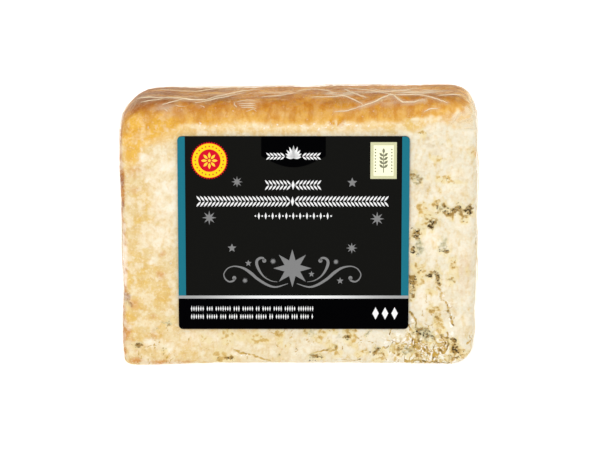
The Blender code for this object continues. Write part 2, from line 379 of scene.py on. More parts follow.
# Soft areas of the paste on the labelled face: (along, up, half length, half width, strength)
SOFT_AREAS = {
    GOLD: (
        (-55.9, 68.5, 3.8, 2.4, 0.8),
        (-53.2, 64.8, 2.6, 2.6, 0.5),
        (-55.1, 59.5, 4.0, 2.2, 0.7),
        (-58.0, 36.0, 7.5, 12.0, 0.65),
        (-50.0, 31.0, 8.5, 5.0, 0.5),
        (-60.0, 18.0, 3.6, 6.5, 0.7),
        (-55.0, 20.5, 5.0, 3.0, 0.5),
        (-40.0, 10.5, 8.0, 3.0, 0.3),
        (39.6, 95.2, 3.2, 2.8, 0.9),
        (33.0, 93.6, 3.0, 2.0, 0.5),
    ),
    TAN: (
        (-57.9, 77.5, 3.6, 2.6, 0.7),
        (-58.6, 70.5, 2.6, 1.6, 0.6),
        (-48.9, 46.4, 1.3, 1.1, 0.7),
        (-49.5, 38.2, 1.7, 1.7, 0.8),
        (-60.2, 27.5, 2.6, 2.0, 0.7),
        (-52.0, 15.8, 1.2, 2.0, 0.6),
        (58.5, 40.0, 2.6, 9.0, 0.25),
        (52.5, 97.6, 3.4, 1.8, 0.8),
        (61.4, 84.6, 1.3, 1.6, 0.9),
    ),
    PALE: (
        (-54.7, 82.8, 2.2, 1.8, 0.9),
        (-53.4, 74.9, 2.0, 1.5, 0.8),
        (-47.6, 71.0, 5.5, 17.0, 0.8),
        (-49.6, 53.0, 5.6, 5.0, 0.75),
        (-53.0, 43.6, 1.6, 1.2, 0.9),
        (-52.6, 12.3, 2.6, 1.8, 0.8),
        (-46.4, 10.8, 2.6, 2.2, 0.7),
        (-36.0, 14.5, 10.0, 3.0, 0.5),
        (47.0, 52.0, 3.2, 5.0, 0.9),
        (57.0, 52.0, 4.5, 9.0, 0.3),
        (45.2, 28.0, 4.4, 6.5, 0.6),
        (20.0, 15.0, 9.0, 3.0, 0.4),
    ),
    RUST: (
        (-61.6, 17.0, 1.0, 3.6, 0.9),
        (-60.4, 11.6, 1.3, 2.2, 0.9),
        (-57.6, 10.0, 1.6, 0.9, 0.8),
        (-58.5, 5.4, 3.0, 1.0, 0.9),
        (-50.5, 4.6, 5.5, 0.9, 0.9),
        (-42.0, 4.9, 3.6, 0.9, 0.8),
        (-52.9, 22.4, 0.8, 1.2, 0.6),
    ),
    SMUDGE: (
        (44.4, 90.4, 1.6, 1.2, 0.6),
        (46.8, 87.6, 2.8, 1.4, 0.6),
        (49.4, 85.4, 1.8, 2.2, 0.6),
        (45.6, 71.6, 2.0, 1.4, 0.4),
        (41.0, 73.0, 2.4, 1.6, 0.5),
    ),
    AMBER: (
        (-33.3, 97.2, 0.9, 2.0, 0.9),
        (11.6, 96.4, 1.2, 1.4, 1.2),
        (14.9, 95.8, 1.2, 2.2, 1.3),
        (20.6, 97.2, 1.2, 1.8, 1.2),
    ),
}

# Larger areas on that face: (middle, half length, half width), and the corner's lean
CRUMBLY_CORNER = ((45.0, 8.5), 16.0, 9.0, -8)
WIDE_BAND = ((-58.0, 96.0), 12.0, 24.0)
YELLOW_AREAS = (((-52.0, 94.5), 10.0, 5.5), ((-59.0, 88.0), 3.6, 9.5))
PALE_CRUST = ((-62.0, 44.0), 9.0, 14.0)

# Where the crust reaches further onto the labelled face: (up, half width, how far)
CRUST_ALONG = -62.0
CRUST_SPREAD = 9.0
CRUSTED = ((72.0, 8.0, 0.9), (44.0, 14.0, 1.5), (18.0, 13.0, 0.9))
# Brown scars on the crust: (along, up, half length, half width, lean, strength)
SCARS = (
    (-62.8, 29.4, 2.0, 1.2, 50, 1.4),
    (-61.6, 27.4, 1.7, 0.9, -40, 1.4),
    (-63.6, 74.0, 0.9, 4.0, 0, 1.0),
    (-63.4, 64.0, 0.7, 3.0, 0, 0.8),
)


def lines(face, specs):
    """The strongest of several lines at each point of the face."""
    total = np.zeros(len(face))
    for path, half_width, strength in specs:
        line = strength * (1 - step(0.3 * half_width, 1.5 * half_width, distance(face, path)))
        total = np.maximum(total, line)
    return total


def crumb_strokes():
    """Short curved veins, strewn over the crumbly places."""
    rng = np.random.default_rng(STROKE_SEED)
    strokes = []
    for count, cluster, spread, deepest in STROKES:
        for _ in range(count):
            middle = rng.normal(cluster, spread)
            lean = math.radians(rng.normal(90, 45))
            reach = rng.uniform(0.8, 2.4) * np.array((math.cos(lean), math.sin(lean)))
            bend = rng.uniform(-0.35, 0.35) * np.array((-reach[1], reach[0]))
            path = (middle - reach, middle + bend, middle + reach)
            strokes.append((path, rng.uniform(0.16, 0.30), rng.uniform(0.6, deepest)))
    return strokes


def vein_marks(where):
    """Ochre, grey, dark, netted, white and stroked marks, each from 0 to about 1; the white marks are
    white crumbs and painted highlights beside the film's creases.
    """
    wobble = np.stack((where.bumps(2.6, 3), where.bumps(2.6, 4)), axis=1)
    wobble += np.stack((where.bumps(1.3, 5), where.bumps(1.3, 6)), axis=1) * 0.5
    face = where.face + wobble
    ochre, grey, dark = np.zeros((3, len(face)))
    for *place, ochre_share, grey_share, dark_share in VEINS:
        along, up, half_length, half_width, lean = place
        mark = patch(face, (along, up), half_length, half_width, lean)
        halo = patch(face, (along, up), half_length + VEIN_HALO, half_width + VEIN_HALO, lean)
        ochre = np.maximum(ochre, ochre_share * halo)
        grey = np.maximum(grey, grey_share * mark)
        dark = np.maximum(dark, dark_share * mark)
    stroke = lines(face, (*OCHRE_LINES, *crumb_strokes())) * where.on_face
    ochre = ochre * where.on_face
    dark = np.maximum(dark, lines(face, DARK_LINES)) * where.on_face
    grey = grey * where.on_face
    # Painted highlights beside the film's creases on the face
    white = lines(face, PALE_LINES_AND_CREASE_HIGHLIGHTS) * where.on_face

    # How dense the fine net of veins is: most in the corner at the tip and the cut end
    corner = patch(face, *CRUMBLY_CORNER)
    strip = 0.34 * (1 - step(12.0, 19.0, where.up)) * step(-34.0, 10.0, where.along)
    side = 0.24 * step(34.0, 44.0, where.along) * (1 - step(84.0, 92.0, where.up))
    side *= step(-0.1, 0.5, where.bumps(9.0, 16))
    net = np.maximum(corner, np.maximum(strip, side)) * where.on_face
    white = np.maximum(white, 0.85 * corner * where.on_face)

    # Wide veins through the rest of the cheese, seen at its ends and underneath
    inside = (1 - where.on_face) * step(5.0, 14.0, where.under_rind)
    inside *= step(2.0, 9.0, where.from_crust)
    veined = inside * step(-0.35, 0.2, where.bumps(19.0, 11))
    wide = where.seams(11.0, 2) * veined
    ochre = np.maximum(ochre, wide * step(-0.5, 0.3, where.bumps(7.0, 12)))
    grey = np.maximum(grey, wide * step(-0.3, 0.3, where.bumps(8.0, 13)))
    dark = np.maximum(dark, wide * step(-0.05, 0.35, where.bumps(5.0, 14)) * 1.1)
    net = np.maximum(net, 0.45 * veined)
    return ochre, grey, dark, net, white, stroke


def paste_colour(where):
    """The cheese's own colour at each point, without its veins, and how much of it is rind band."""
    slow, medium, quick = where.bumps(16.0, 21), where.bumps(6.5, 22), where.bumps(2.4, 23)
    face = where.face + 1.2 * np.stack((medium, quick), axis=1)

    crust_side = 1 - step(-52.0, 20.0, where.along)
    cream = mixed(linear(CREAM), linear(WARM_CREAM), crust_side)
    ochre = step(-0.25, 0.7, 0.5 * medium + 0.3 * slow + 0.45 * quick)
    low = 1 - step(15.0, 70.0, where.up)
    ochre_share = ochre * (0.14 + crust_side * (0.58 + 0.25 * low))
    colour = mixed(cream, linear(OCHRE_PASTE), np.clip(ochre_share, 0, 1))

    # The warm band under the rind: wider at the crusted end, and fading out at the cut end
    extra = 5.0 * patch(face, *WIDE_BAND)
    short = (2.8 + 2.0 * quick) * step(34.0, 52.0, where.along)
    short += 4.0 * (1 - step(1.5, 5.5, where.from_cut))
    depth = where.under_rind - extra + short + 0.8 * medium + 0.8 * quick + 0.6 * slow
    depths = [stop[0] for stop in RIND_COLOURS]
    stops = np.array([linear(stop[1]) for stop in RIND_COLOURS])
    band_colour = np.stack([np.interp(depth, depths, stops[:, i]) for i in range(3)], axis=1)
    colour = mixed(band_colour, colour, step(9.5, 14.0, depth))
    band = 1 - step(6.5, 9.0, depth)

    over = step(1.0, 7.0, where.wrap)
    streak = where.bumps(4.2, 25, stretch=3.5)
    shade = 0.35 * (1 - step(-45.0, -5.0, where.along)) + 0.5 * step(0.0, 0.5, streak)
    colour = mixed(colour, linear(RIND_SHADE), over * shade)
    colour = mixed(colour, linear(RIND_GLEAM), over * 0.7 * step(0.0, 0.4, -streak))
    yellow = sum(patch(face, *area) for area in YELLOW_AREAS)
    yellow = np.clip(yellow * (0.95 + 0.6 * medium), 0, 1) * where.on_face
    colour = mixed(colour, linear(YELLOW_PASTE), yellow * 0.9)
    band = np.maximum(band - 0.6 * yellow, 0.25 * yellow)
    for tone, areas in SOFT_AREAS.items():
        share = np.zeros(len(face))
        for *place, strength in areas:
            share = np.maximum(share, strength * patch(face, place[:2], *place[2:]))
        share = np.clip(share * (0.9 + 0.7 * quick + 0.4 * medium), 0, 1) * where.on_face
        colour = mixed(colour, linear(tone), share)

    # The drum's crusted end
    crust_depth = where.from_crust + 0.4 * quick + 0.3 * medium
    for up, half_width, reach in CRUSTED:
        crust_depth -= reach * patch(face, (CRUST_ALONG, up), CRUST_SPREAD, half_width)
    paled = 0.9 * patch(face, *PALE_CRUST) * step(-7.0, -2.0, where.out)
    flecks = step(0.0, 0.8, where.bumps(2.2, 24) + 0.4 * medium + paled) * (0.3 + 0.7 * paled)
    crust = mixed(linear(CRUST), linear(CRUST_PALE), flecks)
    colour = mixed(crust, colour, step(0.5, 1.7, crust_depth))
    for along, up, half_length, half_width, lean, strength in SCARS:
        scar = patch(face, (along, up), half_length, half_width, lean) * step(-7.0, -2.0, where.out)
        colour = mixed(colour, linear(SCAR), np.clip(strength * scar * (0.8 + quick), 0, 0.9))
    return colour, band


def split_edges(mesh, chosen):
    """Halves the spacing of the chosen points."""
    bm = bmesh.new()
    bm.from_mesh(mesh)
    edges = [edge for edge in bm.edges if all(chosen[corner.index] for corner in edge.verts)]
    bmesh.ops.subdivide_edges(bm, edges=edges, cuts=1, use_grid_fill=True)
    bm.to_mesh(mesh)
    bm.free()


def refine_front(mesh):
    """Finer points on the labelled face around the label, and the finest in its crumbly corner."""
    where = Surface(read_points(mesh)[0])
    across, up = where.along - LABEL_ALONG, where.up - LABEL_UP
    covered = (abs(across) < LABEL_HALF_WIDTH - 1) & (abs(up) < LABEL_HALF_HEIGHT - 1)
    split_edges(mesh, (where.out > -2.5) & ~covered)
    where = Surface(read_points(mesh)[0])
    split_edges(mesh, (where.out > -2.0) & (where.along > 27) & (where.up < 20))


def fine_copy(name, spacing):
    """A closed, evenly fine copy of the wedge's solid, as a new object."""
    bm = bmesh.new()
    bm.from_mesh(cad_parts["stilton_wedge"].data)
    bmesh.ops.remove_doubles(bm, verts=bm.verts, dist=0.01 * MM)
    quarter = math.pi / 2
    bmesh.ops.join_triangles(
        bm, faces=bm.faces, angle_face_threshold=quarter / 2, angle_shape_threshold=quarter / 2
    )
    obj = add_mesh(name, bm)
    smooth = obj.modifiers.new("smooth", "SUBSURF")
    smooth.levels = smooth.render_levels = 2
    remesh = obj.modifiers.new("even", "REMESH")
    remesh.mode = "VOXEL"
    remesh.voxel_size = spacing * MM
    remesh.use_smooth_shade = True
    shown = obj.evaluated_get(bpy.context.evaluated_depsgraph_get())
    obj.data = bpy.data.meshes.new_from_object(shown)
    obj.modifiers.clear()
    return obj


def read_points(mesh):
    """A mesh's points and their normals, in millimetres."""
    points = np.empty(len(mesh.vertices) * 3)
    mesh.vertices.foreach_get("co", points)
    normals = np.empty(len(mesh.vertices) * 3)
    mesh.vertex_normals.foreach_get("vector", normals)
    return points.reshape(-1, 3) / MM, normals.reshape(-1, 3)


def write_points(mesh, points):
    """Moves a mesh's points to these places, in millimetres."""
    mesh.vertices.foreach_set("co", (points * MM).ravel())
    mesh.update()


def write_values(mesh, name, columns):
    """Keeps up to four values for each point as a colour attribute."""
    values = np.ones((len(mesh.vertices), 4))
    values[:, : columns.shape[1]] = columns
    mesh.attributes.new(name, "FLOAT_COLOR", "POINT").data.foreach_set("color", values.ravel())


def make_cheese():
    """The cheese itself: its lumps, hollows and veins."""
    obj = fine_copy("cheese", CHEESE_SPACING)
    refine_front(obj.data)
    points, normals = read_points(obj.data)
    where = Surface(points)
    ochre, grey, dark, net, white, stroke = vein_marks(where)
    paste, band = paste_colour(where)
    rind = 1 - step(0.5, 3.0, where.under_rind)
    crust = 1 - step(0.3, 1.5, where.from_crust)
    rough = np.maximum(rind, crust)
    hollow = DARK_SINK * dark + GREY_SINK * grey + OCHRE_SINK * ochre
    hollow += STROKE_SINK * np.clip(stroke, 0, 1)
    height = -CHEESE_INSET - hollow
    height += 0.10 * where.bumps(2.2, 31) + 0.07 * where.bumps(1.2, 32)
    height -= rough * (0.25 * where.seams(4.0, 3) + 0.15 * step(0.0, 0.5, where.bumps(1.6, 33)))
    write_points(obj.data, points + normals * height[:, None])
    write_values(obj.data, "paste", paste)
    write_values(obj.data, "marks", np.stack((ochre, grey, dark, net), axis=1))
    # The white marks hold white crumbs and painted highlights beside the film's creases
    write_values(obj.data, "rind", np.stack((rough, band, white, stroke), axis=1))
    return obj


# Folds of the film over the rind: (points as (along, wrap), height, half width, painted highlight on
# the crest)
RIND_FOLDS = (
    (((4.6, 5.4), (10.6, 5.8), (15.5, 6.8), (20.0, 2.2), (22.1, 0.5)), 0.35, 1.2, 0.6),
    (((15.9, 15.7), (20.2, 8.1), (23.2, 4.6)), 0.2, 1.2, 0.7),
    (((21.1, -1.9), (26.8, 1.6), (32.1, 5.9), (34.9, 2.5), (37.6, 0.5), (44.0, 2.1)), 0.7, 1.5, 1.0),
    (((17.8, 16.9), (23.4, 13.9), (28.3, 9.6), (32.2, 7.1)), 0.2, 1.2, 0.6),
    (((32.9, 6.4), (39.2, 6.4), (46.6, 3.9), (51.9, 0.5)), 0.35, 1.2, 0.8),
    (((48.7, 5.5), (52.9, 6.6), (57.6, 8.0)), 0.3, 1.2, 0.7),
    (((12.0, -3.6), (16.6, -3.3), (21.0, -1.6)), 0.2, 1.1, 0.5),
    (((43.7, -4.3), (46.1, -3.3), (49.0, -3.2)), 0.2, 1.0, 0.6),
    (((-0.7, 13.2), (3.5, 16.4), (7.8, 14.4), (12.1, 10.7)), 0.2, 1.3, 0.6),
    (((25.6, 16.1), (30.4, 10.9), (36.1, 13.5), (42.0, 20.5)), 0.2, 1.3, 0.6),
    (((-58.0, 11.5), (-54.4, 9.3), (-50.2, 7.1), (-45.9, 6.4)), 0.4, 1.3, 0.8),
    (((-46.7, 7.1), (-40.3, 5.7), (-32.9, 5.1)), 0.5, 1.5, 1.0),
    (((-33.2, 5.1), (-27.2, 8.5), (-21.3, 15.8), (-15.2, 19.6)), 0.5, 1.4, 0.8),
    (((-37.1, 3.2), (-31.4, 4.9), (-25.5, 7.6), (-19.9, 15.0)), 0.3, 1.2, 0.4),
    (((-48.7, 1.9), (-45.5, 3.8), (-40.3, 5.9)), 0.3, 1.2, 0.5),
    (((-57.0, 5.6), (-52.2, 5.2), (-48.0, 6.1)), 0.3, 1.2, 0.4),
    (((-13.4, 6.2), (-7.4, 8.4), (-1.1, 10.6)), 0.35, 1.2, 0.5),
    (((-22.2, 3.5), (-19.0, 4.6), (-16.3, 4.1)), 0.15, 0.8, 0.2),
    (((-21.8, 1.5), (-18.7, 2.2), (-15.8, 1.6)), 0.15, 0.8, 0.3),
    (((-21.1, 0.2), (-18.3, 0.8), (-15.4, 0.0)), 0.15, 0.8, 0.3),
    (((-20.5, -1.1), (-18.0, -0.8), (-15.3, -2.1)), 0.15, 0.8, 0.2),
    (((-19.0, -3.0), (-16.9, -2.1), (-15.1, -3.6)), 0.15, 0.8, 0.1),
    (((-23.2, 3.1), (-23.1, 1.4), (-22.5, -0.5)), 0.2, 0.8, 0.4),
    (((-48.1, -0.6), (-47.4, -1.8), (-46.9, -2.6)), 0.15, 0.8, 0.2),
    (((-44.0, 2.2), (-42.6, 1.4), (-40.1, 0.7)), 0.15, 0.8, 0.1),
    (((-35.1, 1.4), (-34.2, 0.8), (-33.6, -0.4)), 0.15, 0.8, 0.1),
    (((52.6, -9.2), (54.9, -6.7), (57.5, -4.5)), 0.25, 1.0, 0.8),
    (((56.1, -8.5), (58.9, -7.6), (61.8, -7.2)), 0.2, 1.0, 0.7),
    (((57.6, -11.2), (59.6, -10.9), (62.2, -11.2)), 0.2, 1.0, 0.6),
    (((-50.0, 21.0), (-38.0, 18.0), (-24.0, 27.0), (-10.0, 33.0)), 0.2, 1.4, 0.5),
)
# Hazy places of the film: (along, wrap, half length, half width, haze)
FILM_HAZES = (
    (-18.6, 1.2, 4.8, 3.0, 0.26),
    (31.6, 2.2, 4.0, 4.0, 0.20),
    (-56.0, 11.0, 6.0, 5.0, 0.18),
    (-44.2, 7.6, 9.0, 2.0, 0.26),
    (41.3, 12.0, 11.0, 5.0, 0.46),
    (26.2, 11.5, 7.0, 3.0, 0.34),
    (15.1, 10.1, 8.0, 3.6, 0.36),
    (-8.1, 12.6, 9.0, 2.6, 0.30),
    (-28.2, 11.0, 7.0, 2.2, 0.20),
    (-46.0, -1.2, 6.6, 3.2, 0.22),
    (-34.1, 1.2, 3.4, 2.0, 0.12),
    (-20.3, 23.6, 14.0, 5.0, 0.16),
    (59.7, -6.3, 3.4, 6.0, 0.40),
    (60.5, 9.0, 3.0, 6.0, 0.30),
)
# Made-up folds behind and on the ends: how many, and the ranges of their sizes
FOLD_SEED = 36
BACK_FOLDS = 16
BACK_ALONG = (-55, 45)
BACK_WRAP = (27, 60)
BACK_LENGTH = (6, 16)
BACK_HEIGHT = (0.15, 0.4)
BACK_HALF_WIDTH = 1.5
END_FOLDS = 11
END_RADIUS = (55, 100)
END_STEP = (5, 12)
END_HEIGHT = (0.25, 0.6)
END_HALF_WIDTH = 1.4
# How strong the painted highlight on each made-up fold's crest may be
MADE_UP_HIGHLIGHT = (0.05, 0.35)


def at_turn(along, radius, turn):
    """A point at this radius from the drum's axis, turned up from the base."""
    return radius * np.array((0, math.cos(turn), math.sin(turn))) + AXIS + (along, 0, 0)


def on_rind(along, wrap):
    """A point on the drum's rind, this far down from the upper rim."""
    radius = drum_radius(along)
    if wrap < 0:
        return UP * (radius + wrap) + AXIS + (along, 0, 0)
    return at_turn(along, radius, SLICE_ANGLE - wrap / radius)


def film_folds():
    """Every fold of the film: the listed ones in front, and seeded ones behind and on the ends."""
    folds = [
        ([on_rind(*point) for point in path], height, half_width, haze_and_highlight)
        for path, height, half_width, haze_and_highlight in RIND_FOLDS
    ]
    rng = np.random.default_rng(FOLD_SEED)
    for _ in range(BACK_FOLDS):
        along, wrap = rng.uniform(*BACK_ALONG), rng.uniform(*BACK_WRAP)
        drift = rng.uniform(-0.5, 0.5, 3)
        reach = rng.uniform(*BACK_LENGTH)
        path = [on_rind(along, wrap)]
        for slope in drift:
            along, wrap = along + reach / 2, wrap + slope * reach / 2
            path.append(on_rind(min(along, 60.0), min(max(wrap, 26.0), 64.0)))
        folds.append((path, rng.uniform(*BACK_HEIGHT), BACK_HALF_WIDTH, rng.uniform(*MADE_UP_HIGHLIGHT)))
    for end in (CRUST_END, CUT_END):
        for _ in range(END_FOLDS):
            radius, turn = rng.uniform(*END_RADIUS), rng.uniform(0.1, 0.9) * SLICE_ANGLE
            path = [at_turn(end, radius, turn)]
            for _ in range(3):
                radius -= rng.uniform(*END_STEP)
                turn = min(max(turn + rng.uniform(-0.12, 0.12), 0.04), SLICE_ANGLE - 0.04)
                path.append(at_turn(end, radius, turn))
            folds.append((path, rng.uniform(*END_HEIGHT), END_HALF_WIDTH, rng.uniform(*MADE_UP_HIGHLIGHT)))
    return folds


def make_film(folds):
    """The clear film drawn tight over the cheese, with its folds, its hazy places and the painted
    highlights along the fold crests.
    """
    obj = fine_copy("film", FILM_SPACING)
    points, normals = read_points(obj.data)
    where = Surface(points)
    rim_face = step(-8.0, -3.0, where.wrap)
    free = np.maximum(1 - where.on_face, rim_face)
    lifted = step(0.2, 3.0, points[:, 2])
    height = free * lifted * (0.12 + 0.10 * where.bumps(5.0, 41) + 0.05 * where.bumps(2.0, 42))
    haze_and_highlight = 0.04 * free * step(0.1, 0.6, where.bumps(4.0, 43))
    haze_and_highlight += 0.04 * free * step(0.0, 0.5, where.bumps(1.5, 44))
    bpy.context.view_layer.update()
    for path, fold_height, half_width, fold_highlight in folds:
        # Each path is drawn onto the wedge's own surface
        spots = [obj.closest_point_on_mesh(Vector(point * MM))[1] for point in smooth_path(path, 3)]
        near = distance(points, [np.array(spot) / MM for spot in spots])
        crest = np.clip(1 - near / half_width, 0, 1)
        height = np.maximum(height, fold_height * crest**1.3 * lifted)
        # Each fold's crest is whitened as a painted highlight
        haze_and_highlight = np.maximum(haze_and_highlight, FOLD_HIGHLIGHT * fold_highlight * crest * lifted)
    wrapped = np.stack((where.along, where.wrap), axis=1)
    broken = 0.3 + 1.1 * step(-0.3, 0.4, where.bumps(1.3, 45, stretch=4.0))
    for along, wrap, half_length, half_width, strength in FILM_HAZES:
        mark = patch(wrapped, (along, wrap), half_length, half_width)
        haze_and_highlight = np.maximum(haze_and_highlight, strength * mark * broken * step(-12.0, -4.0, where.wrap))
    write_points(obj.data, points + normals * height[:, None])
    write_values(obj.data, "haze_and_highlight", np.clip(haze_and_highlight, 0, 1)[:, None])
    return obj


def smooth_path(points, steps=6):
    """A smooth curve through points of any number of values."""
    points = [np.array(point, dtype=float) for point in points]
    padded = [2 * points[0] - points[1], *points, 2 * points[-1] - points[-2]]
    path = []
    for before, start, end, after in zip(padded, padded[1:], padded[2:], padded[3:]):
        for i in range(steps):
            t = i / steps
            bend = 2 * before - 5 * start + 4 * end - after
            curl = 3 * start - before - 3 * end + after
            path.append(start + 0.5 * ((end - before) * t + bend * t**2 + curl * t**3))
    return [*path, points[-1]]


def close_tube(bm, rows):
    """Faces between rows of corners, and one over either end."""
    for row, following in zip(rows, rows[1:]):
        for i, corner in enumerate(row):
            after = (i + 1) % len(row)
            bm.faces.new((corner, row[after], following[after], following[i]))
    bm.faces.new(rows[0])
    bm.faces.new(rows[-1])


def make_creases(film, folds):
    """A sharp, thin ridge along the crest of each fold, whitened all over as a painted highlight."""
    bm = bmesh.new()
    bpy.context.view_layer.update()
    for path, _, _, haze_and_highlight in folds:
        path = smooth_path(path)
        path = [point + noise.noise_vector(Vector(point / 4.0)) * 0.6 for point in path]
        spots = [film.closest_point_on_mesh(Vector(point * MM))[1:3] for point in path]
        rows = []
        for i, (spot, normal) in enumerate(spots):
            run = spots[min(i + 1, len(spots) - 1)][0] - spots[max(i - 1, 0)][0]
            aside = normal.cross(run).normalized()
            ragged = 1 + 0.5 * noise.noise(spot / (2.0 * MM))
            taper = math.sqrt(math.sin(math.pi * (i + 0.5) / len(spots)))
            reach = (0.10 + 0.16 * haze_and_highlight) * MM * taper * ragged
            base = spot - normal * 0.04 * MM
            corners = (base + aside * reach, spot + normal * reach * 0.8, base - aside * reach)
            rows.append([bm.verts.new(corner) for corner in corners])
        close_tube(bm, rows)
    bmesh.ops.recalc_face_normals(bm, faces=bm.faces)
    obj = add_mesh("film_creases", bm)
    where = Surface(read_points(obj.data)[0])
    # The creases' white is a painted highlight
    write_values(obj.data, "haze_and_highlight", CREASE_HIGHLIGHT * (1 + 0.5 * where.bumps(3.0, 46))[:, None])
    return obj


class Recipe:
    """A material being built from nodes."""

    MIX_A, MIX_B, MIX_OUT = 6, 7, 2

    def __init__(self, name):
        self.material = bpy.data.materials.new(name)
        self.material.use_nodes = True
        self.tree = self.material.node_tree
        self.shader = self.tree.nodes["Principled BSDF"]
        self.output = self.tree.nodes["Material Output"]
        self.place = self.add("ShaderNodeTexCoord").outputs["Object"]

    def add(self, kind, **settings):
        """A new node with these settings."""
        node = self.tree.nodes.new(kind)
        for name, value in settings.items():
            setattr(node, name, value)
        return node

    def feed(self, socket, value):
        """Links a socket to another, or sets its value."""
        if isinstance(value, bpy.types.NodeSocket):
            self.tree.links.new(value, socket)
        else:
            socket.default_value = value

    def fill(self, node, values):
        """Links or sets each named socket of a node."""
        for name, value in values.items():
            self.feed(node.inputs[name], value)

    def sloped(self, lengths):
        """Places turned to the labelled face, longer along it by these factors."""
        node = self.add("ShaderNodeMapping", vector_type="TEXTURE")
        self.fill(node, {"Vector": self.place, "Rotation": (SLICE_ANGLE, 0, 0), "Scale": lengths})
        return node.outputs["Vector"]

    def grain(self, size, detail, lengths=(1, 1, 1), distortion=0.0):
        """Noise from 0 to 1, in grains of this many millimetres."""
        node = self.add("ShaderNodeTexNoise")
        self.fill(node, {"Vector": self.sloped(lengths), "Scale": 1 / (size * MM)})
        self.fill(node, {"Detail": detail, "Distortion": distortion})
        return node.outputs["Fac"]

    def ridges(self, size, width):
        """1 on thin winding lines this many millimetres apart, and 0 between them."""
        offset = self.maths("SUBTRACT", self.grain(size, 2, distortion=0.8), 0.5)
        return self.fade(self.maths("ABSOLUTE", offset, 0.0), 0.0, width, 1.0, 0.0)

    def kept(self, name):
        """The three parts of a colour attribute, its fourth part, and the colour itself."""
        node = self.add("ShaderNodeAttribute", attribute_name=name)
        parts = self.add("ShaderNodeSeparateColor")
        self.fill(parts, {"Color": node.outputs["Color"]})
        return (*parts.outputs[:3], node.outputs["Alpha"], node.outputs["Color"])

    def maths(self, operation, first, second):
        """One sum on two sockets or numbers."""
        node = self.add("ShaderNodeMath", operation=operation)
        self.fill(node, {0: first, 1: second})
        return node.outputs[0]

    def fade(self, value, low, high, start=0.0, end=1.0):
        """A smooth change from start to end as a value goes from low to high."""
        node = self.add("ShaderNodeMapRange", interpolation_type="SMOOTHSTEP")
        self.fill(node, {"Value": value, "From Min": low, "From Max": high})
        self.fill(node, {"To Min": start, "To Max": end})
        return node.outputs["Result"]

    def broken(self, value, grain, share, low, high, end):
        """A mark broken up by grain: where value with a share of the grain passes low to high."""
        uneven = self.maths("MULTIPLY", self.maths("SUBTRACT", grain, 0.5), share)
        return self.fade(self.maths("ADD", value, uneven), low, high, 0.0, end)

    def blend(self, share, first, second, mode="MIX"):
        """A mix of two sockets or sRGB colours."""
        node = self.add("ShaderNodeMix", data_type="RGBA", blend_type=mode)
        self.feed(node.inputs["Factor"], share)
        for index, colour in ((self.MIX_A, first), (self.MIX_B, second)):
            if not isinstance(colour, bpy.types.NodeSocket):
                colour = (*linear(colour), 1)
            self.feed(node.inputs[index], colour)
        return node.outputs[self.MIX_OUT]

    def bump(self, height, depth):
        """A normal from a height of 0 to 1 that stands for this many millimetres."""
        node = self.add("ShaderNodeBump")
        self.fill(node, {"Height": height, "Distance": depth * MM})
        return node.outputs["Normal"]

    def layered(self, share, under, over):
        """A shader that shows this share of the one over it."""
        node = self.add("ShaderNodeMixShader")
        self.fill(node, {0: share, 1: under.outputs[0], 2: over.outputs[0]})
        return node


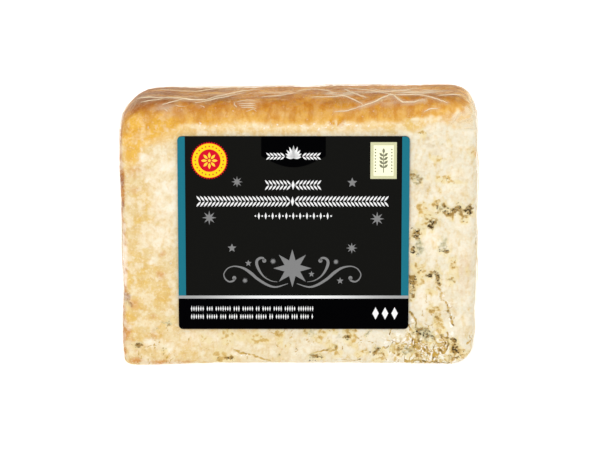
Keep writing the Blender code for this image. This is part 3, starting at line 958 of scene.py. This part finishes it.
def cheese_material():
    """Crumbly cream paste with ochre, grey and dark veins, and a brown rind."""
    recipe = Recipe("stilton_paste")
    ochre, grey, dark, net, _ = recipe.kept("marks")
    rough, band, white, stroke, _ = recipe.kept("rind")
    *_, paste = recipe.kept("paste")
    crumbs, fine, lumps = recipe.grain(1.5, 3), recipe.grain(0.85, 2), recipe.grain(3.8, 5)
    streaks = recipe.grain(1.6, 4, (1, 2.0, 1))
    drips = recipe.grain(3.4, 4, (0.8, 2.4, 1))

    # Pale and warm mottling of the paste, which the rind's band has less of
    pale = recipe.fade(lumps, 0.47, 0.62, 0.0, 0.5)
    pale = recipe.maths("MULTIPLY", pale, recipe.fade(band, 0.0, 1.0, 1.0, 0.1))
    colour = recipe.blend(pale, paste, (242, 235, 216))
    warm = recipe.fade(streaks, 0.46, 0.70, 0.0, 0.45)
    colour = recipe.blend(warm, colour, (242, 221, 170), "MULTIPLY")
    warm = recipe.fade(crumbs, 0.42, 0.72, 0.0, 0.4)
    colour = recipe.blend(warm, colour, (238, 216, 168), "MULTIPLY")
    glints = recipe.fade(band, 0.0, 1.0, 0.26, 0.06)
    glints = recipe.maths("MULTIPLY", recipe.fade(fine, 0.50, 0.66), glints)
    colour = recipe.blend(glints, colour, (247, 236, 214))
    amber = recipe.maths("MULTIPLY", band, recipe.fade(drips, 0.42, 0.60, 0.0, 0.75))
    colour = recipe.blend(amber, colour, (236, 210, 150), "MULTIPLY")

    threads = recipe.maths("MULTIPLY", recipe.ridges(2.6, 0.06), net)
    # Marks: (where, the grain that breaks it up, its share, low, high, how strong, tone)
    marks = (
        # White crumbs and painted highlights beside the film's creases, and thin winding veins over
        # them
        (white, crumbs, 2.6, 0.4, 0.85, 0.85, (251, 247, 238)),
        (net, lumps, 3.4, 0.75, 1.4, 0.5, (212, 205, 164)),
        (threads, streaks, 2.2, 0.3, 0.8, 0.8, (202, 166, 80)),
        (stroke, fine, 1.2, 0.3, 0.8, 0.85, (190, 150, 46)),
        (stroke, crumbs, 3.0, 0.85, 1.25, 0.85, (116, 90, 34)),
        # The veins: pale and then deep ochre, grey, brown, and dark specks
        (ochre, streaks, 1.8, 0.1, 0.8, 0.7, (231, 214, 162)),
        (grey, crumbs, 2.0, 0.4, 1.05, 0.75, (188, 184, 152)),
        (ochre, crumbs, 2.8, 0.7, 1.25, 0.8, (200, 160, 78)),
        (grey, fine, 2.8, 0.8, 1.3, 0.7, (136, 130, 98)),
        (dark, crumbs, 2.8, 0.5, 1.15, 0.85, (148, 116, 58)),
        (dark, fine, 3.6, 1.0, 1.3, 0.95, (58, 40, 14)),
    )
    for mark, grain, share, low, high, most, tone in marks:
        colour = recipe.blend(recipe.broken(mark, grain, share, low, high, most), colour, tone)

    # Dark patches, pale bloom and specks on the outside
    outside = (
        (recipe.grain(2.6, 4, (2.0, 1, 1)), 0.5, 0.7, 0.4, (142, 92, 38)),
        (recipe.grain(2.4, 3), 0.55, 0.7, 0.2, (236, 196, 136)),
        (fine, 0.56, 0.66, 0.5, (168, 100, 56)),
    )
    for grain, low, high, most, tone in outside:
        share = recipe.maths("MULTIPLY", rough, recipe.fade(grain, low, high, 0.0, most))
        colour = recipe.blend(share, colour, tone)

    looks = {
        "Base Color": colour,
        "Roughness": recipe.fade(crumbs, 0.3, 0.7, 0.5, 0.7),
        "Normal": recipe.bump(crumbs, 0.2),
        "Subsurface Weight": 0.08,
        "Subsurface Radius": (1.0, 0.7, 0.4),
        "Subsurface Scale": 0.8 * MM,
        "Specular IOR Level": 0.15,
    }
    recipe.fill(recipe.shader, looks)
    return recipe.material


def film_material():
    """Clear film: seen through, with gloss, and whitish where it lifts off; the whitish crests of its
    folds and its creases are painted highlights.
    """
    recipe = Recipe("clear_film")
    recipe.tree.nodes.remove(recipe.shader)
    haze_and_highlight, *_ = recipe.kept("haze_and_highlight")
    creases = recipe.bump(recipe.grain(2.6, 3, (2.0, 0.7, 0.7)), 0.35)

    clear = recipe.add("ShaderNodeBsdfTransparent")
    gloss = recipe.add("ShaderNodeBsdfGlossy")
    recipe.fill(gloss, {"Roughness": 0.14, "Color": FILM_GLOSS, "Normal": creases})
    fresnel = recipe.add("ShaderNodeFresnel")
    recipe.fill(fresnel, {"IOR": 1.45, "Normal": creases})
    shine = recipe.maths("MULTIPLY", fresnel.outputs[0], FILM_SHINE)
    # The white layer: haze where the film lifts off, and painted highlights along the crests of folds
    # and creases
    white = recipe.add("ShaderNodeBsdfDiffuse")
    recipe.fill(white, {"Color": FILM_WHITE})
    film = recipe.layered(haze_and_highlight, recipe.layered(shine, clear, gloss), white)
    recipe.fill(recipe.output, {"Surface": film.outputs[0]})
    return recipe.material


def ink(name, colour, roughness=0.5, shine=0.06):
    """A printed colour on smooth label stock, very slightly uneven."""
    recipe = Recipe(name)
    grain = recipe.grain(0.35, 2)
    darker = [part * 0.8 for part in colour]
    looks = {
        "Base Color": recipe.blend(recipe.fade(grain, 0.3, 0.7, 0.0, 0.1), colour, darker),
        "Roughness": recipe.fade(grain, 0.3, 0.7, roughness - 0.05, roughness + 0.05),
        "Specular IOR Level": shine,
    }
    recipe.fill(recipe.shader, looks)
    return recipe.material


def rule_material():
    """A silver rule, bright in the middle and dull at both ends."""
    recipe = Recipe("silver_rule")
    axes = recipe.add("ShaderNodeSeparateXYZ")
    recipe.fill(axes, {0: recipe.place})
    offset = recipe.maths("SUBTRACT", axes.outputs["X"], float(LABEL_MIDDLE[0]) * MM)
    aside = recipe.maths("ABSOLUTE", offset, 0.0)
    share = recipe.fade(aside, 0.15 * LABEL_HALF_WIDTH * MM, 0.95 * LABEL_HALF_WIDTH * MM)
    colour = recipe.blend(share, (232, 232, 232), (157, 157, 156))
    recipe.fill(recipe.shader, {"Base Color": colour, "Roughness": 0.4, "Specular IOR Level": 0.2})
    return recipe.material


# The label's print. Shapes that look round in front stand this much taller on the face
PRINT_STRETCH = 1.067
# The silver rule's two edges, the teal strips' width and the radius of the label's corners
RULE_LOW, RULE_HIGH = -23.25, -22.2
STRIP_WIDTH = 2.65
CORNER = 1.5
# The tab at the top: left, right, how low its sides reach and how low its middle does
TAB = (-11.4, 11.4, 27.3, 23.4)
# How much higher each layer of ink reaches than the one under it
LAYER = 0.03
# The big star: its middle, and its points, outer radius and notch radius
STAR_MIDDLE = (-0.43, -12.4)
BIG_STAR = (8, 6.8, 3.0)
# Smaller stars by kind: points, the notches' share of the radius, and each (across, up, radius)
STARS = (
    (8, 0.38, ((-20.0, 18.3, 2.0), (-29.9, 5.6, 2.55), (29.7, 5.2, 2.5), (20.7, -5.2, 2.0))),
    (
        5,
        0.45,
        (
            (20.8, 18.0, 1.8),
            (-21.9, -5.2, 1.6),
            (-16.1, -10.6, 1.2),
            (6.4, -14.5, 1.1),
            (16.6, -16.9, 1.25),
        ),
    ),
    (12, 0.5, ((-7.3, -9.9, 1.1), (15.1, -10.1, 1.0), (-17.3, -16.8, 1.0))),
)
# Scrolls beside the big star, from its middle: (across, up, width), and the round end's radius
WIDE_SCROLL = (
    (-1.6, -5.5, 0.2),
    (-5.7, -6.7, 0.55),
    (-8.8, -6.0, 0.8),
    (-12.4, -3.8, 0.95),
    (-14.8, -1.7, 1.05),
    (-17.2, -0.1, 0.8),
    (-19.5, 0.6, 0.5),
    (-21.5, 0.6, 0.36),
    (-23.3, -0.3, 0.36),
    (-24.4, -2.1, 0.36),
    (-23.9, -3.8, 0.45),
    (-22.5, -4.8, 0.55),
    (-20.9, -4.4, 0.65),
    (-20.7, -3.5, 0.75),
)
SMALL_SCROLL = (
    (-5.3, -4.9, 0.15),
    (-7.6, -4.5, 0.3),
    (-10.0, -3.1, 0.45),
    (-11.6, -1.1, 0.75),
    (-12.6, 1.1, 1.0),
    (-12.6, 2.7, 0.95),
    (-11.6, 3.6, 0.8),
    (-10.4, 3.6, 0.7),
    (-10.0, 2.7, 0.7),
)
BULB = 0.72
# The tab's spray of leaves: its middle, and how far each pair leans from upright and how long it is
SPRAY_MIDDLE = (0.0, 26.6)
SPRAY = ((0, 4.6), (20, 4.3), (40, 3.8), (60, 3.3), (80, 2.8))
SPRAY_WIDTH = 0.95
# Pairs of small leaves on either side of it: start, end and pitch
SPRIG = (3.1, 9.4, 1.25)
# The round seal, and its radii from the edge inwards
SEAL_MIDDLE = (-29.75, 25.8)
SEAL_EDGE, SEAL_NOTCH = 6.65, 6.1
SEAL_RING = 6.0
BEAD_RING = 5.0
SEAL_CORE = 3.95
PETAL_ROOT = 0.75
PETALS = 8
# The stamp: left, right, low and high, and the width of its frame
STAMP = (27.2, 36.5, 19.35, 32.25)
STAMP_FRAME = 1.1
# Radius of the beads on the seal and of the dots on the stamp
BEAD = 0.26
# Rows of leaves: middle across, middle up, half length, leaf length, leaf width, lean, pitch
GARLANDS = (
    (-0.15, 17.15, 10.7, 2.3, 0.62, 50, 1.28),
    (-0.35, 11.4, 35.6, 2.5, 0.66, 50, 1.32),
)
# Rows of narrow lozenges in groups: start, end, up, half height
FINE_SEED = 8
FINE_ROWS = ((-36.4, 7.6, -26.9, 1.15), (-36.4, 7.3, -29.75, 1.15))
FINE_PITCH = 0.82
FINE_GAP = 0.7
# A row of lozenges and beads by turns: middle across, middle up, how many to each side, pitch
BEAD_ROW = (-0.1, 6.2, 11, 1.22)
# Three large lozenges: each one's place across, and their height
MARK_ROW = (29.3, 32.7, 36.1)
MARK_UP = -28.6


def ring_points(count, radius, start=0.0):
    """Points evenly round a circle about the origin."""
    turns = [start + 2 * math.pi * i / count for i in range(count)]
    return [(radius * math.cos(turn), radius * math.sin(turn)) for turn in turns]


def star(points, outer, inner):
    """A star's outline with one point straight up."""
    half = math.pi / points
    tips = ring_points(points, outer, math.pi / 2)
    notches = ring_points(points, inner, math.pi / 2 + half)
    return [corner for pair in zip(tips, notches) for corner in pair]


def leaf(length, width, lean):
    """A pointed oval from the origin, leaning this many degrees from straight across."""
    turn = math.radians(lean)
    side = [(length * i / 6, width / 2 * math.sin(math.pi * i / 6)) for i in range(7)]
    outline = side + [(x, -y) for x, y in reversed(side[1:-1])]
    return [
        (x * math.cos(turn) - y * math.sin(turn), x * math.sin(turn) + y * math.cos(turn))
        for x, y in outline
    ]


def lozenge(half_width, half_height):
    """A four-cornered outline about the origin."""
    return [(half_width, 0), (0, half_height), (-half_width, 0), (0, -half_height)]


def box_outline(left, right, low, high, corners=(0, 0, 0, 0)):
    """A rectangle, with its corners rounded from the top right one, anticlockwise."""
    outline = []
    places = ((right, high, -1, -1), (left, high, 1, -1), (left, low, 1, 1), (right, low, -1, 1))
    for index, ((x, y, inward_x, inward_y), radius) in enumerate(zip(places, corners)):
        if radius == 0:
            outline.append((x, y))
            continue
        for i in range(7):
            turn = math.pi / 2 * (index + i / 6)
            outline.append(
                (x + radius * (inward_x + math.cos(turn)), y + radius * (inward_y + math.sin(turn)))
            )
    return outline


def ribbon(points):
    """The outline of a curved stroke through (across, up, width), as its two sides."""
    path = smooth_path(points)
    left, right = [], []
    for index, here in enumerate(path):
        run = path[min(index + 1, len(path) - 1)][:2] - path[max(index - 1, 0)][:2]
        side = np.array((-run[1], run[0])) / np.linalg.norm(run) * here[2] / 2
        left.append(tuple(here[:2] + side))
        right.append(tuple(here[:2] - side))
    return left, right


class Sheet:
    """Shapes printed in one ink, as thin solids on the label."""

    def __init__(self, name, material, layer):
        self.name, self.material = name, material
        self.low, self.high = LABEL_TOP, LABEL_TOP + LAYER * layer
        self.bm = bmesh.new()

    def corner(self, place, height):
        """A new corner at a place on the label, this high over the wedge's face."""
        across, up = place
        point = LABEL_MIDDLE + (across, 0, 0) + UP * up * PRINT_STRETCH
        return self.bm.verts.new((point + OUT * (height - LABEL_OUT)) * MM)

    def shape(self, outline, middle=(0, 0), flip=1):
        """A flat shape from its outline, moved to its middle."""
        places = [(middle[0] + flip * x, middle[1] + y) for x, y in outline]
        top = [self.corner(place, self.high) for place in places]
        base = [self.corner(place, self.low) for place in places]
        self.bm.faces.new(top)
        self.bm.faces.new(base[::-1])
        for i, corner in enumerate(top):
            after = (i + 1) % len(top)
            self.bm.faces.new((corner, base[i], base[after], top[after]))

    def stroke(self, points, middle=(0, 0), flip=1):
        """A curved stroke, as quads between its two sides."""
        rows = []
        for sides in zip(*ribbon(points)):
            places = [(middle[0] + flip * x, middle[1] + y) for x, y in sides]
            tops = [self.corner(place, self.high) for place in places]
            bases = [self.corner(place, self.low) for place in reversed(places)]
            rows.append([*tops, *bases])
        close_tube(self.bm, rows)

    def finish(self):
        """Makes the printed piece."""
        bmesh.ops.recalc_face_normals(self.bm, faces=self.bm.faces)
        obj = add_mesh(self.name, self.bm)
        obj.data.materials.append(self.material)
        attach(obj, "root")


def print_fields():
    """The teal strips, the black band and tab, and the silver rule."""
    wide, high = LABEL_HALF_WIDTH, LABEL_HALF_HEIGHT / PRINT_STRETCH
    teal = Sheet("print_teal_strips", ink("teal_ink", (26, 112, 130)), 1)
    teal.shape(box_outline(-wide, -wide + STRIP_WIDTH, RULE_HIGH, high, (0, CORNER, 0, 0)))
    teal.shape(box_outline(wide - STRIP_WIDTH, wide, RULE_HIGH, high, (CORNER, 0, 0, 0)))
    teal.finish()
    black = Sheet("print_black_fields", ink("black_ink", (1, 1, 2), 0.5, 0.01), 1)
    black.shape(box_outline(-wide, wide, -high, RULE_LOW, (0, 0, CORNER, CORNER)))
    left, right, side_low, low = TAB
    hem = [
        (left + (right - left) * i / 16, side_low - (side_low - low) * math.sin(math.pi * i / 16))
        for i in range(17)
    ]
    black.shape([(right, high), (left, high), *hem])
    black.finish()
    rule = Sheet("print_silver_rule", rule_material(), 2)
    rule.shape(box_outline(-wide, wide, RULE_LOW, RULE_HIGH))
    rule.finish()


def print_stars():
    """The silver stars, bursts and scrolls."""
    silver = Sheet("print_silver_stars", ink("silver_ink", (126, 126, 126), 0.45, 0.05), 2)
    points, outer, inner = BIG_STAR
    silver.shape(star(points, outer, inner), STAR_MIDDLE)
    for points, notch, places in STARS:
        for across, up, radius in places:
            silver.shape(star(points, radius, radius * notch), (across, up))
    for flip in (1, -1):
        for scroll in (WIDE_SCROLL, SMALL_SCROLL):
            silver.stroke(scroll, STAR_MIDDLE, flip)
            bulb = (STAR_MIDDLE[0] + flip * scroll[-1][0], STAR_MIDDLE[1] + scroll[-1][1])
            silver.shape(ring_points(16, BULB), bulb)
    silver.finish()


def garland(sheet, across, up, half_length, leaf_length, leaf_width, lean, pitch):
    """A row of leaves that point away from a lozenge in the middle."""
    sheet.shape(lozenge(0.6, 1.7), (across, up))
    count = int((half_length - leaf_length * math.cos(math.radians(lean))) / pitch)
    for i in range(count):
        offset = 0.8 + i * pitch
        for flip in (1, -1):
            for turn in (lean, -lean):
                sheet.shape(leaf(leaf_length, leaf_width, turn), (across + flip * offset, up), flip)


def print_rows():
    """Plain rows of leaves, lozenges and beads, and the flourish on the tab."""
    white = Sheet("print_white_rows", ink("white_ink", (232, 232, 232)), 2)
    for row in GARLANDS:
        garland(white, *row)
    middle, up, count, pitch = BEAD_ROW
    for i in range(-count, count + 1):
        outline = lozenge(0.42, 1.25) if i % 2 == 0 else ring_points(10, 0.3)
        white.shape(outline, (middle + i * pitch, up))
    rng = np.random.default_rng(FINE_SEED)
    for start, end, up, half_height in FINE_ROWS:
        across = start
        while across < end:
            for _ in range(rng.integers(2, 8)):
                if across < end:
                    white.shape(lozenge(0.27, half_height * rng.uniform(0.75, 1.0)), (across, up))
                across += FINE_PITCH
            across += FINE_GAP
    for across in MARK_ROW:
        white.shape(lozenge(1.15, 2.2), (across, MARK_UP))
    for lean, length in SPRAY:
        for flip in (1, -1):
            white.shape(leaf(length, SPRAY_WIDTH, 90 - lean), SPRAY_MIDDLE, flip)
    start, end, pitch = SPRIG
    for i in range(int((end - start) / pitch)):
        for flip in (1, -1):
            root = (SPRAY_MIDDLE[0] + flip * (start + i * pitch), SPRAY_MIDDLE[1] + 0.7)
            for lean in (38, -38):
                white.shape(leaf(2.0, 0.6, lean), root, flip)
    white.finish()


def print_seal():
    """A round rosette: scalloped edge, beaded ring and a plain flower."""
    red = Sheet("print_seal_red", ink("seal_red_ink", (214, 8, 34)), 2)
    red.shape(star(44, SEAL_EDGE, SEAL_NOTCH), SEAL_MIDDLE)
    red.finish()
    yellow = Sheet("print_seal_yellow", ink("seal_yellow_ink", (248, 208, 26)), 3)
    yellow.shape(ring_points(48, SEAL_RING), SEAL_MIDDLE)
    yellow.finish()
    core = Sheet("print_seal_core", ink("seal_core_ink", (206, 10, 40)), 4)
    core.shape(ring_points(48, SEAL_CORE), SEAL_MIDDLE)
    for x, y in ring_points(24, BEAD_RING):
        core.shape(ring_points(8, BEAD), (SEAL_MIDDLE[0] + x, SEAL_MIDDLE[1] + y))
    core.finish()
    flower = Sheet("print_seal_flower", ink("seal_flower_ink", (250, 206, 58)), 5)
    for i, (x, y) in enumerate(ring_points(PETALS, PETAL_ROOT)):
        root = (SEAL_MIDDLE[0] + x, SEAL_MIDDLE[1] + y)
        flower.shape(leaf(2.2, 0.95, 360 / PETALS * i), root)
    flower.shape(ring_points(12, 0.5), SEAL_MIDDLE)
    flower.finish()


def print_stamp():
    """A small pale stamp with a thin frame, a sprig and two rows of dots."""
    left, right, low, high = STAMP
    middle = ((left + right) / 2, (low + high) / 2)
    edge = Sheet("print_stamp_edge", ink("stamp_edge_ink", (205, 204, 164)), 2)
    edge.shape(box_outline(left, right, low, high))
    edge.finish()
    paper = Sheet("print_stamp_paper", ink("stamp_paper_ink", (250, 249, 214)), 3)
    inner = (left + STAMP_FRAME, right - STAMP_FRAME, low + STAMP_FRAME, high - STAMP_FRAME)
    paper.shape(box_outline(*inner))
    paper.finish()
    olive = Sheet("print_stamp_sprig", ink("stamp_olive_ink", (124, 124, 100)), 4)
    for i in range(4):
        height = middle[1] - 2.6 + 1.35 * i
        for flip in (1, -1):
            olive.shape(leaf(1.9, 0.85, 42), (middle[0] + 0.1 * flip, height), flip)
    olive.shape(leaf(2.0, 0.9, 90), (middle[0], middle[1] + 2.4))
    olive.shape(box_outline(-0.14, 0.14, -4.2, 2.4), middle)
    for flip in (1, -1):
        for i in range(8):
            dot = (middle[0] + flip * 2.9, middle[1] - 3.8 + 1.1 * i)
            olive.shape(ring_points(8, BEAD), dot)
    olive.finish()


def dress_label():
    """The label's own plate, and all that is printed on it."""
    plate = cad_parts["label"]
    plate.data.materials[0] = ink("charcoal_stock", (17, 17, 15), 0.5, 0.03)
    print_fields()
    print_stars()
    print_rows()
    print_seal()
    print_stamp()


def dress_wedge():
    """The cheese and its film, in place of the plain solid."""
    cheese = make_cheese()
    cheese.data.materials.clear()
    cheese.data.materials.append(cheese_material())
    folds = film_folds()
    film = make_film(folds)
    film.data.materials.clear()
    film.data.materials.append(film_material())
    creases = make_creases(film, folds)
    creases.data.materials.append(film.data.materials[0])
    for piece in (cheese, film, creases):
        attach(piece, "root")
        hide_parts("stilton_wedge")


# The camera looks down on the labelled face, tilted from it towards the rind
VIEW_TILT = math.radians(20.5)
VIEW_DISTANCE = 1800.0
VIEW_MIDDLE = 53.8
LENS = 300.6
# Lamps: (name, place in metres, watts)
LAMPS = (("key", (-0.7, -0.5, 1.9), 24.0), ("fill", (0.9, 0.6, 1.6), 12.0))
LAMP_SIZE = 1.4
LAMP_AIM = (0.0, 0.0, 0.03)
SKY_STRENGTH = 0.55
FLOOR_SIZE = 6.0
FLOOR_DROP = 0.2


def place_camera():
    """The camera of the photograph."""
    towards = OUT * math.cos(VIEW_TILT) + UP * math.sin(VIEW_TILT)
    upward = UP * math.cos(VIEW_TILT) - OUT * math.sin(VIEW_TILT)
    place = (AXIS + upward * VIEW_MIDDLE + towards * VIEW_DISTANCE) * MM
    camera = add_object("camera", bpy.data.cameras.new("camera"))
    camera.data.lens = LENS
    camera.data.sensor_width = 36.0
    columns = Matrix((Vector((1, 0, 0)), Vector(upward), Vector(towards))).transposed()
    camera.matrix_world = Matrix.Translation(Vector(place)) @ columns.to_4x4()
    bpy.context.scene.camera = camera


def soft_light(name, place, watts):
    """A square area light that faces the wedge."""
    lamp = bpy.data.lights.new(name, "AREA")
    lamp.size = LAMP_SIZE
    lamp.energy = watts
    obj = add_object(name, lamp)
    obj.location = place
    obj.rotation_euler = (Vector(LAMP_AIM) - Vector(place)).to_track_quat("-Z", "Y").to_euler()


def set_stage():
    """A pale floor, an even pale sky and large soft lights."""
    bpy.ops.mesh.primitive_plane_add(size=FLOOR_SIZE, location=(0, 0, -FLOOR_DROP * MM))
    floor = bpy.context.object
    floor.name = "floor"
    recipe = Recipe("pale_floor")
    shade = recipe.fade(recipe.grain(90.0, 2), 0.3, 0.7, 0.0, 0.4)
    looks = {
        "Base Color": recipe.blend(shade, (250, 250, 250), (247, 247, 247)),
        "Roughness": 0.9,
        "Emission Color": (1, 1, 1, 1),
        "Emission Strength": 0.3,
        "Specular IOR Level": 0.1,
    }
    recipe.fill(recipe.shader, looks)
    floor.data.materials.append(recipe.material)

    world = bpy.data.worlds.new("sky")
    world.use_nodes = True
    sky = world.node_tree.nodes["Background"]
    sky.inputs["Color"].default_value = (1, 1, 1, 1)
    sky.inputs["Strength"].default_value = SKY_STRENGTH
    bpy.context.scene.world = world
    for lamp in LAMPS:
        soft_light(*lamp)
    bpy.context.scene.view_settings.view_transform = "Standard"


dress_wedge()
dress_label()
place_camera()
set_stage()
